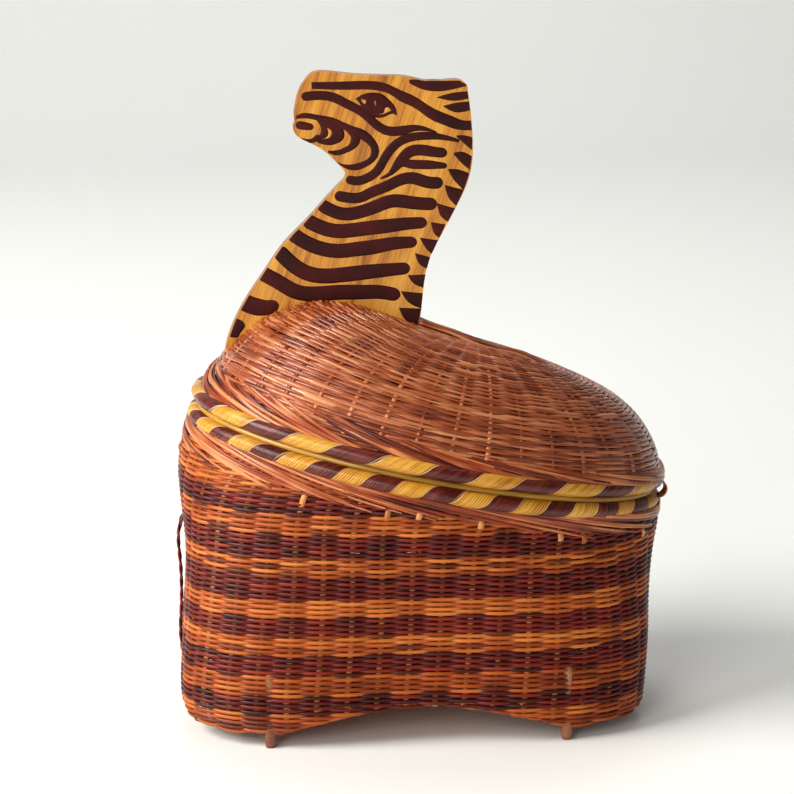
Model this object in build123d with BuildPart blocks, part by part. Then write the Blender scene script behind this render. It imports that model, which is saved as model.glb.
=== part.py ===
from build123d import *
import math
import os

# A woven cane box in the shape of a standing zebra, with a hinged domed lid
# and a flat painted head board standing in a slot along the lid's crest.
# Millimetres, +Z up, the head looks towards -X and the hinge is at +X.
# The origin is on the ground under the middle of the box.

os.makedirs("parts", exist_ok=True)

# Seam between basket and lid
seam_height = 110.3
seam_slope = 0.2
seam_tilt = math.atan(seam_slope)
cos_tilt = math.cos(seam_tilt)
sin_tilt = math.sin(seam_tilt)

# Oval that both wrapped borders follow, in the seam plane
rim_centre = 1.25
rim_half_length = 95.35
rim_half_width = 67.0
border_half_width = 2.9
border_half_height = 2.5
border_offset = 4.1
core_half_width = 1.7
core_half_height = 1.4
hoop_radius = 1.3
hoop_inset = 0.6

# Basket wall
wall_thickness = 2.6
dyed_depth = 0.9
collar_thickness = 1.4
floor_bottom = 15.5
floor_thickness = 2.2
wall_bottom = 5.0
side_arch_left = -64.0
side_arch_middle = -5.0
side_arch_right = 54.0
side_arch_height = 15.5
end_arch_half_width = 40.0
end_arch_height = 13.0
cut_depth = 240.0
basket_collar_end = -16.5

# Basket stations: share of the seam height, shift along X, half length,
# half width, and how far the corners swell out as four rounded lobes
basket_stations = [
    (0.00, -6.4, 96.8, 61.0, 0.110),
    (0.05, -6.5, 100.7, 64.0, 0.110),
    (0.13, -6.5, 102.7, 65.0, 0.108),
    (0.22, -5.9, 102.9, 64.6, 0.105),
    (0.36, -4.6, 102.6, 63.4, 0.096),
    (0.50, -4.1, 102.1, 63.2, 0.085),
    (0.63, -3.8, 102.0, 63.8, 0.065),
    (0.75, -3.4, 102.2, 65.2, 0.045),
    (0.85, -1.8, 100.8, 66.0, 0.026),
    (0.93, -0.2, 97.6, 66.4, 0.010),
    (1.00, 1.2, 93.0, 66.0, 0.000),
]

# Dyed weft bands, bottom and top of each
dyed_bands = [(14.5, 21.5), (30.0, 37.5), (46.5, 54.0), (61.5, 70.0), (79.0, 87.0)]

# Lid dome in the seam's own frame: place along the seam, crest height
dome_centre = 2.5
dome_half_length = 96.5
dome_half_width = 67.0
dome_fullness = 0.85
dome_stations = [
    (-93.4, 6.0),
    (-91.5, 12.2),
    (-87.2, 22.6),
    (-80.0, 34.0),
    (-70.0, 43.2),
    (-56.3, 49.9),
    (-40.0, 51.6),
    (-20.0, 49.0),
    (5.0, 45.4),
    (34.0, 42.3),
    (56.0, 38.2),
    (76.0, 31.9),
    (86.0, 25.4),
    (91.4, 19.6),
    (96.2, 11.8),
    (98.4, 6.0),
]
lid_collar_end = 13.5

# Share of the dome's own length, width and height left inside the weave, and
# taken up outside it by the collar of stake ends
dome_inside = (0.975, 0.964, 0.953)
dome_with_collar = (1.014, 1.02, 1.04)

# Head board and the canes along the crest behind it
board_thickness = 6.0
spine_width = 8.0
pin_radius = 1.6
pin_length = 18.0

# Hinge
hinge_along_seam = 97.2
hinge_x = hinge_along_seam * cos_tilt
hinge_z = seam_height - hinge_along_seam * sin_tilt
lashing_radius = 5.3
lashing_thickness = 1.0
lashing_width = 7.0
lashing_y = 10.5
lashing_gap = 0.3

# Feet and tail
peg_radius = 2.35
peg_length = 31.0
peg_left_x = -66.0
peg_right_x = 52.5
peg_y = 55.2
strap_width = 9.0

seam_plane = Plane(
    origin=(0, 0, seam_height),
    x_dir=(cos_tilt, 0, -sin_tilt),
    z_dir=(sin_tilt, 0, cos_tilt),
)


def basket_solid(inset):
    # A loft through closed outlines with swelling corners, each in a plane
    # that leans by the station's share of the seam's own tilt
    with BuildPart() as body:
        for share, shift, half_length, half_width, lobe in basket_stations:
            lean = math.atan(seam_slope * share)
            points = []
            for step in range(32):
                angle = math.radians(step * 11.25)
                radius = 1 - lobe * math.cos(4 * angle)
                x = shift + (half_length - inset) * radius * math.cos(angle)
                y = (half_width - inset) * radius * math.sin(angle)
                points.append((x / math.cos(lean), y))
            plane = Plane(
                origin=(0, 0, seam_height * share),
                x_dir=(math.cos(lean), 0, -math.sin(lean)),
                z_dir=(math.sin(lean), 0, math.cos(lean)),
            )
            with BuildSketch(plane):
                with BuildLine():
                    Spline(*points, periodic=True)
                make_face()
        loft()
    return body.part


def dome_solid(length_scale, width_scale, height_scale):
    # A loft through arched cross sections standing across the seam plane
    with BuildPart() as dome:
        for place, height in dome_stations:
            across = (place - dome_centre) / dome_half_length
            half_width = dome_half_width * math.sqrt(1 - across * across) * width_scale
            along = dome_centre + (place - dome_centre) * length_scale
            points = []
            for step in range(13):
                angle = math.radians(-90 + 15 * step)
                rise = height * height_scale * max(math.cos(angle), 0) ** dome_fullness
                points.append((half_width * math.sin(angle), rise))
            section = Plane(
                origin=(along * cos_tilt, 0, seam_height - along * sin_tilt),
                x_dir=(0, 1, 0),
                z_dir=(cos_tilt, 0, -sin_tilt),
            )
            with BuildSketch(section):
                with BuildLine():
                    arch = Spline(*points)
                    Line(arch @ 1, arch @ 0)
                make_face()
        loft()
    return dome.part


def rim_ring(offset, inset, half_width, half_height):
    # An oval ring of elliptical section, parallel to the seam plane
    with BuildPart() as ring:
        with BuildLine(seam_plane.offset(offset)) as path:
            EllipticalCenterArc(
                (rim_centre, 0),
                rim_half_length - inset,
                rim_half_width - inset,
                start_angle=0,
                arc_size=360,
            )
        section = Plane(
            origin=path.line @ 0,
            x_dir=(cos_tilt, 0, -sin_tilt),
            z_dir=(0, 1, 0),
        )
        with BuildSketch(section):
            Ellipse(half_width, half_height)
        sweep(path=path.line)
    return ring.part


def lashing_bands(gap):
    # Two flat bands of cane curled round the hinge line
    with BuildPart() as bands:
        for side in (-1, 1):
            start = side * lashing_y - (lashing_width / 2 + gap)
            with BuildSketch(Plane(origin=(hinge_x, start, hinge_z), x_dir=(1, 0, 0), z_dir=(0, 1, 0))):
                Circle(lashing_radius + lashing_thickness / 2 + gap)
                Circle(lashing_radius - lashing_thickness / 2 - gap, mode=Mode.SUBTRACT)
            extrude(amount=lashing_width + 2 * gap)
    return bands.part


def foot_pegs():
    with BuildPart() as pegs:
        for x in (peg_left_x, peg_right_x):
            for y in (-peg_y, peg_y):
                with BuildSketch(Plane(origin=(x, y, 0))):
                    Circle(peg_radius)
                extrude(amount=peg_length)
    return pegs.part


# Shapes that several pieces share
basket_outer = basket_solid(0)
basket_inner = basket_solid(wall_thickness)
basket_under_skin = basket_solid(dyed_depth)
basket_swollen = basket_solid(-collar_thickness)
dome_outer = dome_solid(1, 1, 1)
dome_inner = dome_solid(*dome_inside)
dome_swollen = dome_solid(*dome_with_collar)
basket_border = rim_ring(-border_offset, 0, border_half_width, border_half_height)
basket_core = rim_ring(-border_offset, 0, core_half_width, core_half_height)
lid_border = rim_ring(border_offset, 0, border_half_width, border_half_height)
lid_core = rim_ring(border_offset, 0, core_half_width, core_half_height)
all_pegs = foot_pegs()
fixed_channel = lashing_bands(0.02)
free_channel = lashing_bands(lashing_gap)

# Four bamboo pegs woven into the corner lobes
with BuildPart() as foot_peg_front_left:
    with BuildSketch(Plane(origin=(peg_left_x, -peg_y, 0))):
        Circle(peg_radius)
    extrude(amount=peg_length)
    chamfer(foot_peg_front_left.faces().sort_by(Axis.Z)[-1].edges(), 0.6)

with BuildPart() as foot_peg_front_right:
    with BuildSketch(Plane(origin=(peg_right_x, -peg_y, 0))):
        Circle(peg_radius)
    extrude(amount=peg_length)
    chamfer(foot_peg_front_right.faces().sort_by(Axis.Z)[-1].edges(), 0.6)

with BuildPart() as foot_peg_back_left:
    with BuildSketch(Plane(origin=(peg_left_x, peg_y, 0))):
        Circle(peg_radius)
    extrude(amount=peg_length)
    chamfer(foot_peg_back_left.faces().sort_by(Axis.Z)[-1].edges(), 0.6)

with BuildPart() as foot_peg_back_right:
    with BuildSketch(Plane(origin=(peg_right_x, peg_y, 0))):
        Circle(peg_radius)
    extrude(amount=peg_length)
    chamfer(foot_peg_back_right.faces().sort_by(Axis.Z)[-1].edges(), 0.6)

# Tail strap, bowed out over the hollow left end and tucked in at both ends
with BuildPart() as tail_strap:
    with BuildSketch(Plane(origin=(0, strap_width / 2, 0), x_dir=(1, 0, 0), z_dir=(0, -1, 0))):
        with BuildLine():
            outer = Spline(
                (-97.0, 86.0), (-100.6, 80.0), (-101.8, 62.0), (-101.8, 40.0), (-100.9, 21.0), (-96.2, 12.0),
            )
            inner = Spline(
                (-95.4, 13.8), (-99.2, 22.0), (-100.0, 40.0), (-100.0, 62.0), (-98.9, 79.0), (-96.4, 84.0),
            )
            Line(outer @ 1, inner @ 0)
            Line(inner @ 1, outer @ 0)
        make_face()
    extrude(amount=strap_width)

# Basket floor, a woven plate held inside the wall
with BuildPart() as basket_floor:
    add(basket_inner)
    split(bisect_by=Plane.XY.offset(floor_bottom), keep=Keep.TOP)
    split(bisect_by=Plane.XY.offset(floor_bottom + floor_thickness), keep=Keep.BOTTOM)
    add(all_pegs, mode=Mode.SUBTRACT)

# Basket wall, the tan weave, arched up between the feet on all four sides
with BuildPart() as basket_wall:
    add(basket_outer)
    add(basket_inner, mode=Mode.SUBTRACT)
    split(bisect_by=Plane.XY.offset(wall_bottom), keep=Keep.TOP)
    split(bisect_by=seam_plane.offset(-border_offset - border_half_height), keep=Keep.BOTTOM)
    with BuildSketch(Plane.XZ.offset(-cut_depth / 2)):
        with BuildLine():
            side_arch = ThreePointArc(
                (side_arch_left, wall_bottom),
                (side_arch_middle, side_arch_height),
                (side_arch_right, wall_bottom),
            )
            Line(side_arch @ 1, side_arch @ 0)
        make_face()
    extrude(amount=cut_depth, mode=Mode.SUBTRACT)
    with BuildSketch(Plane.YZ.offset(-cut_depth / 2)):
        with BuildLine():
            end_arch = ThreePointArc(
                (-end_arch_half_width, wall_bottom),
                (0, end_arch_height),
                (end_arch_half_width, wall_bottom),
            )
            Line(end_arch @ 1, end_arch @ 0)
        make_face()
    extrude(amount=cut_depth, mode=Mode.SUBTRACT)
    add(all_pegs, mode=Mode.SUBTRACT)
    add(tail_strap.part, mode=Mode.SUBTRACT)

# Outer skin that the dyed strands take up in the wall
with BuildPart() as wall_skin:
    add(basket_outer)
    add(basket_under_skin, mode=Mode.SUBTRACT)
    add(all_pegs, mode=Mode.SUBTRACT)
    add(tail_strap.part, mode=Mode.SUBTRACT)

# Dyed bands of five strands each
dyed_parts = []
for number, (low, high) in enumerate(dyed_bands):
    with BuildPart() as dyed_band:
        add(wall_skin.part)
        split(bisect_by=Plane.XY.offset(low), keep=Keep.TOP)
        split(bisect_by=Plane.XY.offset(high), keep=Keep.BOTTOM)
        add(basket_wall.part, mode=Mode.INTERSECT)
    dyed_band.part.label = "dyed_band_" + str(number + 1)
    export_step(dyed_band.part, "parts/dyed_band_" + str(number + 1) + ".step")
    dyed_parts.append(dyed_band.part)

with BuildPart() as tan_wall:
    add(basket_wall.part)
    for band in dyed_parts:
        add(band, mode=Mode.SUBTRACT)

# Collar of folded stake ends under the basket's wrapped border
with BuildPart() as basket_stake_border:
    add(basket_swollen)
    add(basket_outer, mode=Mode.SUBTRACT)
    split(bisect_by=seam_plane.offset(-border_offset - border_half_height), keep=Keep.BOTTOM)
    split(bisect_by=seam_plane.offset(basket_collar_end), keep=Keep.TOP)

# Mouth hoop, a bent bamboo ring standing between the two borders
with BuildPart() as mouth_hoop:
    add(rim_ring(0, hoop_inset, hoop_radius, hoop_radius))
    add(fixed_channel, mode=Mode.SUBTRACT)

# Basket border: a core ring and the flat straw wrapped over it
with BuildPart() as basket_rim_core:
    add(basket_core)
    add(fixed_channel, mode=Mode.SUBTRACT)

with BuildPart() as basket_rim_wrap:
    add(basket_border)
    add(basket_core, mode=Mode.SUBTRACT)
    add(fixed_channel, mode=Mode.SUBTRACT)

# Hinge lashings
with BuildPart() as hinge_lashing_front:
    start = -lashing_y - lashing_width / 2
    with BuildSketch(Plane(origin=(hinge_x, start, hinge_z), x_dir=(1, 0, 0), z_dir=(0, 1, 0))):
        Circle(lashing_radius + lashing_thickness / 2)
        Circle(lashing_radius - lashing_thickness / 2, mode=Mode.SUBTRACT)
    extrude(amount=lashing_width)

with BuildPart() as hinge_lashing_back:
    start = lashing_y - lashing_width / 2
    with BuildSketch(Plane(origin=(hinge_x, start, hinge_z), x_dir=(1, 0, 0), z_dir=(0, 1, 0))):
        Circle(lashing_radius + lashing_thickness / 2)
        Circle(lashing_radius - lashing_thickness / 2, mode=Mode.SUBTRACT)
    extrude(amount=lashing_width)

# Head board with its neck, and a tang that reaches under the lid's weave
with BuildPart() as head_board:
    with BuildSketch(Plane(origin=(0, board_thickness / 2, 0), x_dir=(1, 0, 0), z_dir=(0, -1, 0))):
        with BuildLine():
            crown = Spline(
                (-47.5, 259.0), (-44.6, 261.5), (-39.6, 261.9), (-29.3, 260.7), (-14.3, 260.1),
                (-6.6, 259.4), (-1.0, 258.1), (8.0, 258.1), (13.3, 258.1), (16.3, 256.1),
            )
            mane = Spline(
                (16.3, 256.1), (17.5, 248.1), (18.7, 235.4), (18.5, 225.0), (16.4, 216.5),
                (12.6, 208.1), (5.8, 195.2), (1.4, 185.9), (-0.6, 176.6), (-1.8, 164.7), (-3.4, 157.0),
            )
            Polyline((-3.4, 157.0), (-8.0, 150.5), (-44.0, 157.5), (-75.5, 143.5), (-80.9, 151.0))
            chest = Spline(
                (-80.9, 151.0), (-76.5, 163.4), (-70.7, 173.5), (-63.8, 183.6), (-57.3, 192.8),
                (-47.6, 202.8), (-39.5, 211.8), (-32.9, 218.6),
            )
            jaw = Spline(
                (-32.9, 218.6), (-32.1, 221.2), (-34.3, 224.4), (-37.8, 228.0), (-42.8, 232.0),
                (-48.9, 234.9), (-52.0, 237.4), (-52.8, 240.1), (-52.0, 242.0),
            )
            muzzle = Spline((-52.0, 242.0), (-52.4, 245.2), (-51.9, 248.8), (-51.1, 252.3), (-47.5, 259.0))
        make_face()
    extrude(amount=board_thickness)

# Two cross pins through the tang, bearing on the weave from inside
with BuildPart() as tang_pin_left:
    with BuildSketch(Plane(origin=(-60.0, pin_length / 2, 157.0), x_dir=(1, 0, 0), z_dir=(0, -1, 0))):
        Circle(pin_radius)
    extrude(amount=pin_length)

with BuildPart() as tang_pin_right:
    with BuildSketch(Plane(origin=(-20.0, pin_length / 2, 158.5), x_dir=(1, 0, 0), z_dir=(0, -1, 0))):
        Circle(pin_radius)
    extrude(amount=pin_length)

with BuildPart() as drilled_board:
    add(head_board.part)
    add(tang_pin_left.part, mode=Mode.SUBTRACT)
    add(tang_pin_right.part, mode=Mode.SUBTRACT)

# Lid dome with the slot for the head board
with BuildPart() as lid_shell:
    add(dome_outer)
    add(dome_inner, mode=Mode.SUBTRACT)
    split(bisect_by=seam_plane.offset(border_offset + border_half_height), keep=Keep.TOP)
    add(drilled_board.part, mode=Mode.SUBTRACT)

# Crest spine, the bundle of canes that the weave gathers to behind the neck
with BuildPart() as crest_spine:
    with BuildSketch(Plane(origin=(0, spine_width / 2, 0), x_dir=(1, 0, 0), z_dir=(0, -1, 0))):
        with BuildLine():
            top = Spline(
                (-2.2, 162.4), (6.0, 159.2), (15.0, 155.6), (28.0, 151.0), (42.0, 146.6), (50.0, 143.2),
            )
            Polyline(top @ 1, (44.0, 140.0), (4.0, 152.0), (-2.6, 156.0), top @ 0)
        make_face()
    extrude(amount=spine_width)
    add(dome_outer, mode=Mode.SUBTRACT)
    add(drilled_board.part, mode=Mode.SUBTRACT)

# Collar of folded stake ends over the lid's wrapped border
with BuildPart() as lid_stake_border:
    add(dome_swollen)
    add(dome_outer, mode=Mode.SUBTRACT)
    split(bisect_by=seam_plane.offset(border_offset + border_half_height), keep=Keep.TOP)
    split(bisect_by=seam_plane.offset(lid_collar_end), keep=Keep.BOTTOM)

# Lid border: core ring, wrapped straw, and a thin bamboo hoop inside
with BuildPart() as lid_rim_core:
    add(lid_core)
    add(free_channel, mode=Mode.SUBTRACT)

with BuildPart() as lid_rim_wrap:
    add(lid_border)
    add(lid_core, mode=Mode.SUBTRACT)
    add(free_channel, mode=Mode.SUBTRACT)

with BuildPart() as lid_hoop:
    add(rim_ring(border_offset + 0.4, 4.6, 1.4, 1.9))
    add(dome_outer, mode=Mode.INTERSECT)
    add(free_channel, mode=Mode.SUBTRACT)

foot_peg_front_left.part.label = "foot_peg_front_left"
export_step(foot_peg_front_left.part, "parts/foot_peg_front_left.step")
foot_peg_front_right.part.label = "foot_peg_front_right"
export_step(foot_peg_front_right.part, "parts/foot_peg_front_right.step")
foot_peg_back_left.part.label = "foot_peg_back_left"
export_step(foot_peg_back_left.part, "parts/foot_peg_back_left.step")
foot_peg_back_right.part.label = "foot_peg_back_right"
export_step(foot_peg_back_right.part, "parts/foot_peg_back_right.step")
tail_strap.part.label = "tail_strap"
export_step(tail_strap.part, "parts/tail_strap.step")
basket_floor.part.label = "basket_floor"
export_step(basket_floor.part, "parts/basket_floor.step")
tan_wall.part.label = "basket_wall"
export_step(tan_wall.part, "parts/basket_wall.step")
basket_stake_border.part.label = "basket_stake_border"
export_step(basket_stake_border.part, "parts/basket_stake_border.step")
mouth_hoop.part.label = "mouth_hoop"
export_step(mouth_hoop.part, "parts/mouth_hoop.step")
basket_rim_core.part.label = "basket_rim_core"
export_step(basket_rim_core.part, "parts/basket_rim_core.step")
basket_rim_wrap.part.label = "basket_rim_wrap"
export_step(basket_rim_wrap.part, "parts/basket_rim_wrap.step")
hinge_lashing_front.part.label = "hinge_lashing_front"
export_step(hinge_lashing_front.part, "parts/hinge_lashing_front.step")
hinge_lashing_back.part.label = "hinge_lashing_back"
export_step(hinge_lashing_back.part, "parts/hinge_lashing_back.step")
drilled_board.part.label = "head_board"
export_step(drilled_board.part, "parts/head_board.step")
tang_pin_left.part.label = "tang_pin_left"
export_step(tang_pin_left.part, "parts/tang_pin_left.step")
tang_pin_right.part.label = "tang_pin_right"
export_step(tang_pin_right.part, "parts/tang_pin_right.step")
lid_shell.part.label = "lid_shell"
export_step(lid_shell.part, "parts/lid_shell.step")
crest_spine.part.label = "crest_spine"
export_step(crest_spine.part, "parts/crest_spine.step")
lid_stake_border.part.label = "lid_stake_border"
export_step(lid_stake_border.part, "parts/lid_stake_border.step")
lid_rim_core.part.label = "lid_rim_core"
export_step(lid_rim_core.part, "parts/lid_rim_core.step")
lid_rim_wrap.part.label = "lid_rim_wrap"
export_step(lid_rim_wrap.part, "parts/lid_rim_wrap.step")
lid_hoop.part.label = "lid_hoop"
export_step(lid_hoop.part, "parts/lid_hoop.step")
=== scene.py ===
import math

import bpy
import numpy as np
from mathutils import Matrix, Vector


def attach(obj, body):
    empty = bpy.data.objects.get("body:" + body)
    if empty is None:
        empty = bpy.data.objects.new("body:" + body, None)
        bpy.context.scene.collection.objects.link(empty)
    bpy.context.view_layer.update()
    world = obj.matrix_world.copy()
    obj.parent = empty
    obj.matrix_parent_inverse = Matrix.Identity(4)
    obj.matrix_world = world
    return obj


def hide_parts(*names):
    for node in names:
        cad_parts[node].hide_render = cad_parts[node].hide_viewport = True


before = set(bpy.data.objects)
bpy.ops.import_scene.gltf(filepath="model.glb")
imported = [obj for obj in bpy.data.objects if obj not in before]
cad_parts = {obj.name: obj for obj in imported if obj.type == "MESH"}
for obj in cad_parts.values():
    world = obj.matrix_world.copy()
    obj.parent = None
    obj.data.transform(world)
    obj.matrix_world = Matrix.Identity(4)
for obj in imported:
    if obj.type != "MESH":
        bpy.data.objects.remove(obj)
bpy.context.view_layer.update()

# The view. A camera about a metre away, a little above the lid and a little
# to the left of square on, with a long lens as for a small table piece.
eye = Vector((-0.08896, -0.99620, 0.36500))
line_of_sight = Vector((0.07563, 0.97024, -0.23003))
scene = bpy.context.scene
sensor_mm = 36.0
picture_pixels = 794.0
focal_pixels = 2514.5


def aimed(name, data, place, direction):
    """An object that holds a camera or a lamp at a place and looks along a direction."""
    holder = bpy.data.objects.new(name, data)
    holder.location = place
    holder.rotation_mode = "QUATERNION"
    holder.rotation_quaternion = direction.to_track_quat("-Z", "Y")
    scene.collection.objects.link(holder)
    return holder


lens = bpy.data.cameras.new("camera")
lens.sensor_width = sensor_mm
lens.lens = sensor_mm * focal_pixels / picture_pixels
lens.clip_start = 0.05
scene.camera = aimed("camera", lens, eye, line_of_sight)
scene.view_settings.view_transform = "Standard"

# The floor and backdrop: one pale matt sweep that curves up behind the box.
# It is only the stage, and its colour makes the pale background.
paper_half_wide = 5.0
paper_near = -4.0
paper_top = 5.0
bend_start = 1.6
bend_radius = 0.8


def linear(hex_colour):
    """One sRGB hex value turned to linear light, with full alpha."""
    parts = np.array([int(hex_colour[i : i + 2], 16) for i in (1, 3, 5)]) / 255.0
    light = np.where(parts <= 0.04045, parts / 12.92, ((parts + 0.055) / 1.055) ** 2.4)
    return (*light.tolist(), 1.0)


def blank_material(name):
    """A material with only its shader and output: the material, its tree and its shader."""
    made = bpy.data.materials.new(name)
    made.use_nodes = True
    tree = made.node_tree
    return made, tree, tree.nodes["Principled BSDF"]


# The sweep's side profile is a flat floor, a quarter circle and a wall, the same at both sides.
bend = np.linspace(0, math.pi / 2, 17)
paper_y = np.concatenate([[paper_near], bend_start + bend_radius * np.sin(bend), [bend_start + bend_radius]])
paper_z = np.concatenate([[0.0], bend_radius - bend_radius * np.cos(bend), [paper_top]])
count = len(paper_y)
paper_x = np.repeat([-paper_half_wide, paper_half_wide], count)
paper_points = np.stack([paper_x, np.tile(paper_y, 2), np.tile(paper_z, 2)], axis=1)
corner = np.arange(count - 1)
paper_quads = np.stack([corner, corner + count, corner + count + 1, corner + 1], axis=1)
paper_mesh = bpy.data.meshes.new("paper_sweep")
paper_mesh.from_pydata(paper_points.tolist(), [], paper_quads.tolist())
paper_mesh.polygons.foreach_set("use_smooth", [True] * len(paper_mesh.polygons))
paper = bpy.data.objects.new("paper_sweep", paper_mesh)
scene.collection.objects.link(paper)
paper_finish, tree, shader = blank_material("matt_paper")
shader.inputs["Base Color"].default_value = linear("#F2F4F2")
shader.inputs["Roughness"].default_value = 0.9
paper_mesh.materials.append(paper_finish)

# Soft room light: a window to the left, a weaker light from the front, a
# little from above, one more for the backdrop alone, and a pale surround.
box_middle = (0.0, 0.0, 0.1)
for name, place, target, size, watts, colour in (
    ("window_lamp", (-1.35, -0.4, 1.05), box_middle, 1.0, 41.0, "#FFFBF4"),
    ("front_lamp", (-0.9, -1.6, 0.8), box_middle, 0.8, 14.0, "#FFF8EE"),
    ("top_lamp", (0.1, 0.6, 1.7), box_middle, 0.9, 6.0, "#FFFFFF"),
    ("backdrop_lamp", (0.0, 0.9, 2.0), (0.0, 2.4, 0.8), 1.0, 12.0, "#FFFFFF"),
):
    lamp = bpy.data.lights.new(name, "AREA")
    lamp.shape = "SQUARE"
    lamp.size = size
    lamp.energy = watts
    lamp.color = linear(colour)[:3]
    aimed(name, lamp, place, Vector(target) - Vector(place))
surround = bpy.data.worlds.new("surround")
surround.use_nodes = True
background = surround.node_tree.nodes["Background"].inputs
background["Color"].default_value = linear("#F2F2F0")
background["Strength"].default_value = 0.2
scene.world = surround

# The basket's side wall: upright stakes of flat cane with thin round cane
# woven over and under them, tan and dyed strands in turn. It is a rounded
# oblong with four corners that swell out low down, and an oval at the mouth.
seam_slope = 0.2
seam_height = 110.3
tilt = math.atan(seam_slope)
cos_tilt, sin_tilt = math.cos(tilt), math.sin(tilt)
wall_shares = np.array([0.0, 0.05, 0.13, 0.22, 0.36, 0.5, 0.63, 0.75, 0.85, 0.93, 1.0])
wall_shifts = np.array([-6.4, -6.5, -6.5, -5.9, -4.6, -4.1, -3.8, -3.4, -1.8, -0.2, 1.2])
wall_lengths = np.array([96.8, 100.7, 102.7, 102.9, 102.6, 102.1, 102.0, 102.2, 100.8, 97.6, 93.0])
wall_widths = np.array([61.0, 64.0, 65.0, 64.6, 63.4, 63.2, 63.8, 65.2, 66.0, 66.4, 66.0])
wall_lobes = np.array([0.11, 0.11, 0.108, 0.105, 0.096, 0.085, 0.065, 0.045, 0.026, 0.01, 0.0])
wall_bottom, wall_top = 5.0, 124.0
basket_middle = -3.2
arch_middle = -5.0
side_arch_top, side_arch_radius, side_arch_half = 15.5, 171.0, 59.0
end_arch_top, end_arch_radius, end_arch_half = 13.0, 104.0, 40.0
stake_count = 46
strand_pitch = 1.03
strand_round = 1.25
weave_depth = 1.32


def through_points(at, places, values):
    """A natural cubic spline read at some places: a cubic between each two known places,
    with a second derivative that never jumps and is zero at both ends."""
    gap = np.diff(places)
    slope = np.diff(values) / gap
    system = np.eye(len(places))
    change = np.zeros(len(places))
    for i in range(1, len(places) - 1):
        system[i, i - 1 : i + 2] = gap[i - 1], 2 * (gap[i - 1] + gap[i]), gap[i]
        change[i] = 6 * (slope[i] - slope[i - 1])
    bend = np.linalg.solve(system, change)
    k = np.clip(np.searchsorted(places, at) - 1, 0, len(gap) - 1)
    t = at - places[k]
    lean = slope[k] - gap[k] * (2 * bend[k] + bend[k + 1]) / 6
    return values[k] + t * lean + t**2 * bend[k] / 2 + t**3 * (bend[k + 1] - bend[k]) / (6 * gap[k])


def points_at(x, y, z):
    """Points from their three coordinates, each a number or an array."""
    return np.stack(np.broadcast_arrays(x, y, z), axis=-1)


def wall_level(turn, share):
    """Point of the wall at an angle and a share of the seam's height: an ellipse whose
    radius is one less a lobe times cos of four turns, on a plane that leans with the share."""
    shift, length, width, lobe = [
        through_points(share, wall_shares, values)
        for values in (wall_shifts, wall_lengths, wall_widths, wall_lobes)
    ]
    swell = 1 - lobe * np.cos(4 * turn)
    x = shift + length * swell * np.cos(turn)
    y = width * swell * np.sin(turn)
    return points_at(x, y, share * (seam_height - seam_slope * x))


def surface_facing(surface, turn, share, step=1e-3):
    """Unit vector square to a surface, out of it: a step along turn crossed with one along share."""
    along = surface(turn + step, share) - surface(turn - step, share)
    up = surface(turn, share + step) - surface(turn, share - step)
    facing = np.cross(along, up)
    return facing / np.linalg.norm(facing, axis=-1, keepdims=True)


def wall_point(turn, z, out=0.0):
    """Point and outward unit vector of the wall at a height z, moved outwards by out.
    The share is found by repeating share = z / (seam height less the slope times x)."""
    share = np.clip(z / seam_height, 0, 1)
    for _ in range(8):
        share = np.clip(z / (seam_height - seam_slope * wall_level(turn, share)[..., 0]), 0.0, 1.0)
    place = wall_level(turn, share)
    facing = surface_facing(wall_level, turn, share)
    place[..., 2] = z
    return place + facing * np.asarray(out)[..., None], facing


def mm_along(line):
    """Length of a line up to each of its points: the sums of its steps' lengths."""
    return np.concatenate([[0], np.cumsum(np.linalg.norm(np.diff(line, axis=0), axis=1))])


def even_turns(count):
    """Angles that divide the wall's outline at mid height into equal lengths."""
    fine = np.linspace(0, 2 * math.pi, 4001)
    run = mm_along(wall_level(fine, np.full_like(fine, 0.5)))
    return np.interp(np.arange(count) / count * run[-1], run, fine)


def arch_line(top, radius, reach):
    """Height of a shallow arch: a circle of a radius whose highest point is at reach 0."""
    return top - (radius - np.sqrt(np.maximum(radius**2 - reach**2, 0)))


def foot_line(place):
    """Height of the wall's lower edge: an arch along each side and each end, between the corners."""
    x, y = place[..., 0] - arch_middle, place[..., 1]
    at_side = (np.abs(x) < side_arch_half) & (np.abs(y) > end_arch_half)
    at_end = (np.abs(y) < end_arch_half) & (np.abs(x) > side_arch_half)
    side_line = arch_line(side_arch_top, side_arch_radius, x)
    end_line = arch_line(end_arch_top, end_arch_radius, y)
    low = np.where(at_side, np.maximum(wall_bottom, side_line), wall_bottom)
    return np.where(at_end, np.maximum(low, end_line), low)


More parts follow.
